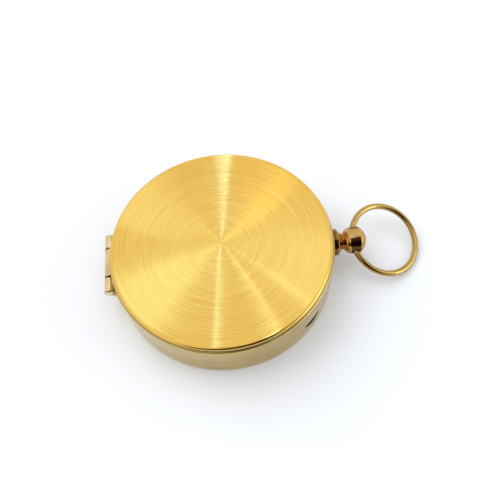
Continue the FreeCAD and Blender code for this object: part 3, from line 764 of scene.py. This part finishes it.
# North is at the pendant, on +X, and the degrees run clockwise seen from above
dialInk = [strokes(dialSizes["top"], *ticks) for ticks in dialSizes["ticks"]]
for radius in dialSizes["circles"]:
    line = {"in": radius, "out": radius + dialSizes["circleWidth"], "low": dialSizes["top"],
            "high": dialSizes["top"] + inkThickness}
    dialInk.append(turnedShape(outline(line, ("in", "low"), ("out", "low"), ("out", "high"),
                                       ("in", "high")), 128))
for number, letter in enumerate("NESW"):
    dialInk.append(lettering(letter, dialSizes["letterHeight"], dialSizes["letterCircle"], -90 * number,
                             dialSizes["top"]))
for turn in range(0, 360, 45):
    reach, halfWidth = roseSizes["long" if turn % 90 == 0 else "short"]
    dialInk.append(placed(rosePoint(reach, halfWidth), turnBy(turn)))
    dialInk.append(placed(strokes(dialSizes["top"], roseSizes["inner"], reach, roseSizes["edge"], 1),
                          turnBy(turn)))
finishPiece(makeObject("dial_markings", joined(*dialInk)), "case", [], [waxBlack])

turnedPiece("case", "degree_ring", degreeRingBrass, outline(
    ringSizes, ("bore", "bottom"), ("wallOut", "bottom"), ("wallOut", "shelf"), ("outer", "shelf"),
    ("outer", "top"), ("bore", "top", "round")), 192)
ringInk = [strokes(ringSizes["top"], *ticks) for ticks in ringSizes["ticks"]]
for degrees in range(0, 360, 30):
    ringInk.append(lettering(str(degrees), ringSizes["numberHeight"], ringSizes["numberCircle"], -degrees,
                             ringSizes["top"]))
finishPiece(makeObject("degree_markings", joined(*ringInk)), "case", [], [waxBlack])

screws = []
for turn in screwSizes["turns"]:
    screw = turnedShape(outline(screwSizes, (0, "end"), ("shank", "end"), ("shank", "seat"),
                                ("head", "seat"), ("head", "top", "headRound"), (0, "top")), 40)
    screws.append(placed(screw, Matrix.Translation(turnBy(turn) @ Vector((screwSizes["circle"], 0, 0)))))
screwPiece = makeObject("screws", joined(*screws))
for turn in screwSizes["turns"]:
    # each screw has stopped with its slot at another angle
    stopped = Matrix.Translation((screwSizes["circle"], 0, screwSizes["top"])) @ turnBy(turn / 3)
    cut(screwPiece, box(screwSizes["slot"], turnBy(turn) @ stopped))
finishPiece(screwPiece, "case", ["dial_screws"], [fixingBrass])
print("dial made")


# Glass and its ring
glassSizes = {"bottom": 8.9, "top": 9.9, "radius": 22.55, "round": 0.05, "bevelFrom": 9.7,
              "bevelRadius": 22.35}
gasketSizes = {"inner": 21.3, "outer": 22.6, "bottom": 8.4, "top": 8.9, "round": 0.08}
springSizes = {"inner": 22.15, "outer": 22.95, "bottom": 9.9, "top": 10.6, "round": 0.12, "split": 12.0}
turnedPiece("case", "crystal_gasket", gasketRubber, outline(
    gasketSizes, ("inner", "bottom", "round"), ("outer", "bottom"), ("outer", "top"),
    ("inner", "top", "round")), 160)
turnedPiece("case", "crystal", crystalGlass, outline(
    glassSizes, (0, "bottom"), ("radius", "bottom", "round"), ("radius", "bevelFrom"),
    ("bevelRadius", "top"), (0, "top")), 192)
turnedPiece("case", "crystal_retaining_ring", springBrass, outline(
    springSizes, ("inner", "bottom", "round"), ("outer", "bottom", "round"), ("outer", "top", "round"),
    ("inner", "top", "round")), 180, 360 - springSizes["split"], -90 + springSizes["split"] / 2)
print("glass made")


# Pivot and needle
postSizes = {"bottom": 0.3, "shank": 0.8, "seat": 1.2, "foot": 2.4, "footTop": 1.8, "footRound": 0.1,
             "radius": 1.2, "shoulder": 3.8, "shoulderRound": 0.08, "tip": 0.7, "top": 4.4,
             "tipRound": 0.06}
pointSizes = {"radius": 0.35, "bottom": 3.4, "coneFrom": 6.3, "point": 7.3}
needleSizes = {"level": 6.4, "thickness": 0.25, "reach": 18.3, "halfWidth": 1.7, "edge": 0.06,
               "boss": 2.3, "bossInset": 0.001, "bossRound": 0.05, "capBore": 1.28, "boreBelow": 0.3,
               "boreLength": 1.0}
capSizes = {"bore": 0.9, "boreTop": 7.6, "flangeBottom": 6.05, "flange": 1.9, "flangeRound": 0.06,
            "level": 6.4, "radius": 1.25, "domeFrom": 7.5, "top": 8.05}
jewelSizes = {"tip": 7.35, "cup": 0.55, "bottom": 6.7, "cupRound": 0.05, "radius": 0.88, "round": 0.06,
              "top": 7.6}
riderSizes = {"place": -9.0, "innerEnd": 8.4, "length": 1.2, "wall": 0.28, "slack": 0.03, "round": 0.09,
              "cutLength": 3.0}

turnedPiece("case", "pivot_post", fixingBrass, outline(
    postSizes, (0, "bottom"), ("shank", "bottom"), ("shank", "seat"), ("foot", "seat"),
    ("foot", "footTop", "footRound"), ("radius", "footTop"), ("radius", "shoulder", "shoulderRound"),
    ("tip", "top", "tipRound"), (0, "top")), 48)
turnedPiece("case", "pivot_pin", pointSteel, outline(
    pointSizes, (0, "bottom"), ("radius", "bottom"), ("radius", "coneFrom"), (0, "point")), 32)

level, thickness, reach = (needleSizes[key] for key in ("level", "thickness", "reach"))
blade = drawnOut([(0, needleSizes["halfWidth"], level), (-reach, 0, level),
                  (0, -needleSizes["halfWidth"], level), (reach, 0, level)], (0, 0, thickness))
rounded(blade, [edge for edge in blade.edges
                if all(vert.co.z > level + thickness / 2 for vert in edge.verts)], needleSizes["edge"])
needle = makeObject("needle", blade)
inset = needleSizes["bossInset"]
cut(needle, rod(needleSizes["boss"], thickness - 2 * inset, (0, 0, level + inset), (0, 0, 1), 64,
                needleSizes["bossRound"]), operation="UNION")
cut(needle, rod(needleSizes["capBore"], needleSizes["boreLength"],
                (0, 0, level - needleSizes["boreBelow"]), (0, 0, 1), 64))
finishPiece(needle, "needle", ["compass_needle"], [needleSteel], 25)

turnedPiece("needle", "needle_cap", capBrass, [
    *outline(capSizes, (0, "boreTop"), ("bore", "boreTop"), ("bore", "flangeBottom"),
             ("flange", "flangeBottom", "flangeRound"), ("flange", "level"), ("radius", "level"),
             ("radius", "domeFrom")),
    *domePoints(capSizes["radius"], capSizes["domeFrom"], capSizes["top"], 8),
    (0, capSizes["top"])], 64)
turnedPiece("needle", "jewel_cup", rubyRed, outline(
    jewelSizes, (0, "tip"), ("cup", "bottom", "cupRound"), ("radius", "bottom", "round"),
    ("radius", "top"), (0, "top")), 40)

# the rider is a bent band that fits the south arm where the arm is widest under it
riderHalf = needleSizes["halfWidth"] * (1 - riderSizes["innerEnd"] / reach) + riderSizes["slack"]
opening = Vector((riderSizes["cutLength"], 2 * riderHalf, thickness + 2 * riderSizes["slack"]))
band = (riderSizes["length"], opening.y + 2 * riderSizes["wall"], opening.z + 2 * riderSizes["wall"])
riderMiddle = Matrix.Translation((riderSizes["place"], 0, level + thickness / 2))
riderShape = box(band, riderMiddle)
rounded(riderShape, riderShape.edges[:], riderSizes["round"], 3)
rider = makeObject("rider", riderShape)
cut(rider, box(opening, riderMiddle))
finishPiece(rider, "needle", ["needle_balance_rider"], [capBrass])
print("needle made")


# Floor, light and camera
floorLook = {"size": 3.0, "colour": "#F4F5F5", "fibre": "#F0F1F1", "fibreScale": 60.0}
floorMesh = bmesh.new()
bmesh.ops.create_grid(floorMesh, x_segments=1, y_segments=1, size=floorLook["size"] / 2)
floor = makeObject("floor", floorMesh, 1.0)
paper, tree, shader = newMaterial("matt_white_paper", "floor", Roughness=0.85)
place = addNode(tree, "ShaderNodeTexCoord").outputs["Object"]
connect(tree, shader, Base_Color=mixColours(tree, noise(tree, place, floorLook["fibreScale"], 4.0),
                                            floorLook["colour"], floorLook["fibre"]))
floor.data.materials.append(paper)

# directions are azimuth from +X and elevation in degrees; the dark patches are the photographer's
# hands and body, which show in the rounded metal
skyLook = {"colour": "#FFFFFF", "fill": 0.80,
           "darkPatches": [((268, 18), 30, 44, "#3C2A14"), ((300, 62), 14, 28, "#5E4628")]}


def directionOf(azimuth, elevation):
    azimuth, elevation = math.radians(azimuth), math.radians(elevation)
    return Vector((math.cos(azimuth) * math.cos(elevation), math.sin(azimuth) * math.cos(elevation),
                   math.sin(elevation)))


world = bpy.data.worlds.new("studio")
bpy.context.scene.world = world
world.use_nodes = True
sky = world.node_tree
sky.nodes.clear()
direction = addNode(sky, "ShaderNodeTexCoord").outputs["Generated"]
ray = addNode(sky, "ShaderNodeLightPath").outputs
tone = skyLook["colour"]
for toward, inner, outer, dark in skyLook["darkPatches"]:
    near = calculateVector(sky, "DOT_PRODUCT", direction, directionOf(*toward), output="Value")
    shade = mapRange(sky, near, 0.0, 1.0, math.cos(math.radians(outer)), math.cos(math.radians(inner)))
    # they show in the metal and take no light from the paper
    tone = mixColours(sky, calculate(sky, "MULTIPLY", shade, ray["Is Glossy Ray"]), tone, dark)
seen = calculate(sky, "MAXIMUM", calculate(sky, "MAXIMUM", ray["Is Camera Ray"], ray["Is Glossy Ray"]),
                 ray["Is Transmission Ray"])
background = addNode(sky, "ShaderNodeBackground",
                     {"Color": tone, "Strength": mapRange(sky, seen, skyLook["fill"], 1.0, 0.0, 1.0)})
addNode(sky, "ShaderNodeOutputWorld", {"Surface": background.outputs[0]})

# places and sizes in metres, power in watts, along is the way that the long side runs
lamps = {
    "windowLamp": {"at": (-0.27, 0.35, 0.9), "size": (0.16, 0.25), "along": 215, "power": 0.10,
                   "tint": "#81BFFF"},
    "sillLamp": {"at": (-0.135, 0.450, 0.9), "size": (0.09, 0.14), "along": 212, "power": 0.052,
                 "tint": "#81BFFF"},
    "stripLamp": {"at": (-0.040, 0.511, 0.9), "size": (0.005, 1.3), "along": 82.5, "power": 0.13,
                  "tint": "#699DFF"},
    "endLamp": {"at": (0.003, 1.009, 0.9), "size": (0.06, 0.3), "along": 85, "power": 0.25,
                "tint": "#699DFF"},
    "roofLamp": {"at": (0.131, 0.041, 0.9), "size": (0.06, 0.3), "along": 292, "power": 0.28,
                 "tint": "#94BDFF"},
    "shelfLamp": {"at": (0.104, 0.372, 0.9), "size": (0.012, 0.16), "along": 316, "power": 0.008,
                  "tint": "#94BDFF"},
    "tubeLamp": {"at": (0.0168, 0.394, 0.9), "size": (0.006, 0.2), "along": 296, "power": 0.012,
                 "tint": "#94BDFF"},
    "backLamp": {"at": (0.135, 0.432, 0.9), "size": (0.16, 0.24), "along": 337, "power": 0.10,
                 "tint": "#94BDFF"},
    "doorLamp": {"at": (-0.255, 0.691, 0.9), "size": (0.16, 0.25), "along": 143, "power": 0.105,
                 "tint": "#94BDFF"},
    "farLamp": {"at": (0.052, 0.588, 0.9), "size": (0.045, 0.14), "along": 40, "power": 0.013,
                "tint": "#FFF0D8"},
    "sideLamp": {"at": (0.80, -0.24, 0.31), "size": (0.30, 0.86), "along": 91, "lean": 38,
                 "power": 1.9, "tint": "#DCE8FF"},
    "roomLamp": {"at": (-0.6, 0.5, 0.8), "size": (1.2, 1.2), "along": 0, "power": 7.0,
                 "tint": "#FFFFFF", "seenInMetal": False},
}
for name, lamp in lamps.items():
    light = bpy.data.lights.new(name, "AREA")
    light.shape = "RECTANGLE"
    light.size, light.size_y = lamp["size"]
    light.energy = lamp["power"]
    light.color = toLinear(lamp["tint"])[:3]
    holder = bpy.data.objects.new(name, light)
    beam = Vector(lamp["at"]).normalized()
    along = directionOf(lamp["along"], lamp.get("lean", 0))
    along = (along - beam * along.dot(beam)).normalized()
    holder.matrix_world = (Matrix.Translation(lamp["at"])
                           @ Matrix((along.cross(beam), along, beam)).transposed().to_4x4())
    holder.visible_glossy = lamp.get("seenInMetal", True)
    bpy.context.scene.collection.objects.link(holder)

view = {"azimuth": -1.20, "elevation": 61.15, "roll": -5.92, "far": 138.0, "focalPixels": 568.0,
        "pixels": 500, "sensor": 36.0, "nearest": 0.005, "target": (6.31, 4.17, 0.0)}
azimuth, elevation, cameraRoll = (math.radians(view[key]) for key in ("azimuth", "elevation", "roll"))
back = Vector((math.sin(azimuth) * math.cos(elevation), -math.cos(azimuth) * math.cos(elevation),
               math.sin(elevation)))
level = Vector((math.cos(azimuth), math.sin(azimuth), 0))
upright = back.cross(level)
right = level * math.cos(cameraRoll) + upright * math.sin(cameraRoll)
up = upright * math.cos(cameraRoll) - level * math.sin(cameraRoll)
camera = bpy.data.cameras.new("camera")
camera.sensor_width = view["sensor"]
camera.lens = view["sensor"] * view["focalPixels"] / view["pixels"]
camera.clip_start = view["nearest"]
cameraObject = bpy.data.objects.new("camera", camera)
cameraObject.matrix_world = (Matrix.Translation((Vector(view["target"]) + back * view["far"]) * mm)
                             @ Matrix((right, up, back)).transposed().to_4x4())
bpy.context.scene.collection.objects.link(cameraObject)
bpy.context.scene.camera = cameraObject
bpy.context.scene.view_settings.view_transform = "Standard"
print("studio made")
